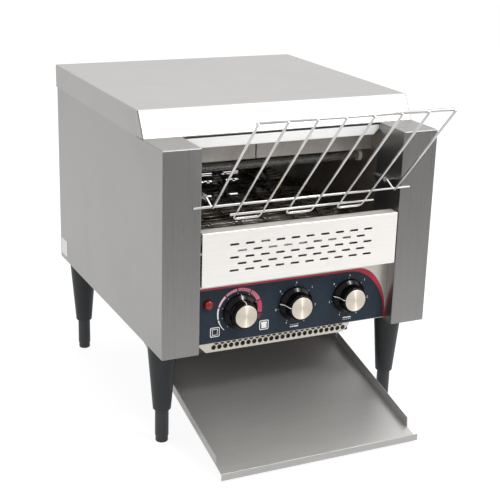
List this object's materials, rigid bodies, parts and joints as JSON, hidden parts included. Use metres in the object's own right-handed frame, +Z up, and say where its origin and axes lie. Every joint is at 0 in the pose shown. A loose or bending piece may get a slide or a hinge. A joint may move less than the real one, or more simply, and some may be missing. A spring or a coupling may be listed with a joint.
{
  "type": "conveyor toaster",
  "caption": "Countertop conveyor toaster: sloping wire feed rack, wire belt between quartz heating tubes, three control knobs and a sloping toast tray, on adjustable legs.",
  "frame": {"origin": "point on the supporting surface under the middle of the toaster's overall box, feed rack and cord gland included", "axes": "+Z up, front (feed rack and controls) faces -Y, +X to the right seen from the front"},
  "size_m": [0.371, 0.552, 0.4438],
  "materials": {
    "stainless_panel": "brushed stainless sheet",
    "stainless_hood": "brushed stainless sheet",
    "stainless_front": "fine brushed stainless sheet",
    "stainless_tray": "brushed stainless sheet, lightly soiled by use",
    "aluminised_sheet": "matt aluminised steel sheet",
    "rack_wire": "bright plated wire",
    "belt_wire": "heat-dulled stainless wire",
    "machined_steel": "machined",
    "bush_brass": "sintered",
    "quartz": "satin quartz",
    "ceramic": "unglazed ceramic",
    "motor_paint": "black paint",
    "overlay_film": "printed film",
    "knob_black": "polished",
    "knob_cap": "spun",
    "switch_plastic": "moulded",
    "lamp_red": "clear red",
    "leg_plastic": "fine moulded grain",
    "foot_plastic": "fine moulded grain",
    "gland_nylon": "moulded",
    "plate_foil": "blank foil",
    "zinc_screw": "bright"
  },
  "bodies": {
    "casing": {"side_panel_left": "stainless_panel", "side_panel_right": "stainless_panel", "back_panel": "stainless_panel", "front_pillar_left": "stainless_panel", "front_pillar_right": "stainless_panel", "hood": "stainless_hood", "slotted_front_panel": "stainless_front", "control_panel": "stainless_front", "lintel": "stainless_front", "perforated_guard": "stainless_front", "base_plate": "aluminised_sheet", "inner_wall_left": "aluminised_sheet", "inner_wall_right": "aluminised_sheet", "upper_reflector": "aluminised_sheet", "lower_reflector": "aluminised_sheet", "toast_slide": "aluminised_sheet", "tray_runners": "aluminised_sheet", "rack_sockets": "rack_wire", "conveyor_belt": "belt_wire", "drive_chain": "machined_steel", "shaft_bushes": "bush_brass", "top_heating_tubes": "quartz", "bottom_heating_tubes": "quartz", "tube_end_caps": "ceramic", "gearmotor": "motor_paint", "control_overlay": "overlay_film", "speed_controller": "switch_plastic", "top_element_switch": "switch_plastic", "bottom_element_switch": "switch_plastic", "terminal_block": "switch_plastic", "pilot_lamp": "lamp_red", "leg_front_left": "leg_plastic", "leg_front_right": "leg_plastic", "leg_rear_left": "leg_plastic", "leg_rear_right": "leg_plastic", "cord_gland": "gland_nylon", "rating_plate": "plate_foil", "rear_screws": "zinc_screw"},
    "speed_knob": {"speed_knob": "knob_black", "speed_knob_cap": "knob_cap", "speed_spindle": "machined_steel"},
    "top_element_knob": {"top_element_knob": "knob_black", "top_element_knob_cap": "knob_cap", "top_element_spindle": "machined_steel"},
    "bottom_element_knob": {"bottom_element_knob": "knob_black", "bottom_element_knob_cap": "knob_cap", "bottom_element_spindle": "machined_steel"},
    "drive_shaft": {"drive_shaft": "machined_steel", "drive_wheels": "machined_steel", "driven_sprocket": "machined_steel"},
    "idler_shaft": {"idler_shaft": "machined_steel", "idler_wheels": "machined_steel"},
    "motor_shaft": {"motor_shaft": "machined_steel", "motor_sprocket": "machined_steel"},
    "feed_rack": {"feed_rack": "rack_wire"},
    "toast_tray": {"toast_tray": "stainless_tray"},
    "foot_front_left": {"foot_front_left": "foot_plastic"},
    "foot_front_right": {"foot_front_right": "foot_plastic"},
    "foot_rear_left": {"foot_rear_left": "foot_plastic"},
    "foot_rear_right": {"foot_rear_right": "foot_plastic"}
  },
  "joints": [
    {"name": "speed_turn", "type": "hinge", "parent": "casing", "child": "speed_knob", "pos_m": [-0.0752, -0.13948, 0.1766], "axis": [0, 1, 0], "range_deg": [-150, 150]},
    {"name": "top_element_turn", "type": "hinge", "parent": "casing", "child": "top_element_knob", "pos_m": [0.0013, -0.13948, 0.1766], "axis": [0, 1, 0], "range_deg": [-277, 31]},
    {"name": "bottom_element_turn", "type": "hinge", "parent": "casing", "child": "bottom_element_knob", "pos_m": [0.0778, -0.13948, 0.1766], "axis": [0, 1, 0], "range_deg": [-277, 31]},
    {"name": "drive_turn", "type": "hinge", "parent": "casing", "child": "drive_shaft", "pos_m": [0, 0.17452, 0.2426], "axis": [-1, 0, 0], "continuous": true},
    {"name": "idler_turn", "type": "hinge", "parent": "casing", "child": "idler_shaft", "pos_m": [0, -0.10948, 0.2426], "axis": [-1, 0, 0], "continuous": true},
    {"name": "motor_turn", "type": "hinge", "parent": "casing", "child": "motor_shaft", "pos_m": [0.14, 0.04452, 0.1766], "axis": [-1, 0, 0], "continuous": true},
    {"name": "rack_pull", "type": "slide", "parent": "casing", "child": "feed_rack", "axis": [0, -1, 0], "range_m": [0, 0.06]},
    {"name": "tray_slide", "type": "slide", "parent": "casing", "child": "toast_tray", "axis": [0, -1, 0], "range_m": [0, 0.18]},
    {"name": "foot_front_left_screw", "type": "slide", "parent": "casing", "child": "foot_front_left", "axis": [0, 0, 1], "range_m": [0, 0.034]},
    {"name": "foot_front_right_screw", "type": "slide", "parent": "casing", "child": "foot_front_right", "axis": [0, 0, 1], "range_m": [0, 0.034]},
    {"name": "foot_rear_left_screw", "type": "slide", "parent": "casing", "child": "foot_rear_left", "axis": [0, 0, 1], "range_m": [0, 0.034]},
    {"name": "foot_rear_right_screw", "type": "slide", "parent": "casing", "child": "foot_rear_right", "axis": [0, 0, 1], "range_m": [0, 0.034]}
  ],
  "couplings": [
    {"joint": "idler_turn", "follows": "drive_turn", "ratio": 1},
    {"joint": "motor_turn", "follows": "drive_turn", "ratio": 1.5}
  ]
}
